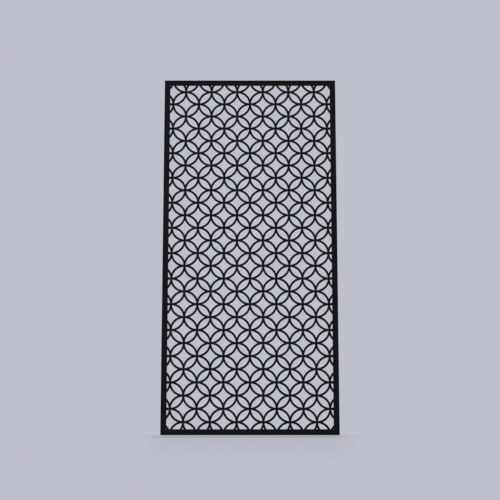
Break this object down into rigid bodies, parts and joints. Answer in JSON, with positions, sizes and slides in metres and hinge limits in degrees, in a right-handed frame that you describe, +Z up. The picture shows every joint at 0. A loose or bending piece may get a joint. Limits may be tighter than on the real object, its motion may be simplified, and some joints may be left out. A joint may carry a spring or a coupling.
{
  "type": "laser cut metal screen",
  "caption": "Upright flat steel room screen cut with a lattice of interlocking rings inside a plain margin, stiffened at the back by a bolted angle frame.",
  "frame": {"origin": "middle of the bottom edge, on the floor, halfway through the depth", "axes": "+Z up along the height, +X to the right across the width as seen from the front, +Y from the cut face towards the back"},
  "size_m": [1, 0.023, 2.09],
  "materials": {
    "black_powder_coat": "matt black powder coat over mild steel",
    "zinc_plate": "bright zinc plated steel"
  },
  "bodies": {
    "root": {"laser_cut_sheet": "black_powder_coat", "top_rail": "black_powder_coat", "bottom_rail": "black_powder_coat", "left_stile": "black_powder_coat", "right_stile": "black_powder_coat", "corner_plate_top_left": "black_powder_coat", "corner_plate_top_right": "black_powder_coat", "corner_plate_bottom_left": "black_powder_coat", "corner_plate_bottom_right": "black_powder_coat", "top_studs": "zinc_plate", "bottom_studs": "zinc_plate", "left_studs": "zinc_plate", "right_studs": "zinc_plate", "top_washers": "zinc_plate", "bottom_washers": "zinc_plate", "left_washers": "zinc_plate", "right_washers": "zinc_plate", "top_nuts": "zinc_plate", "bottom_nuts": "zinc_plate", "left_nuts": "zinc_plate", "right_nuts": "zinc_plate"}
  },
  "joints": []
}
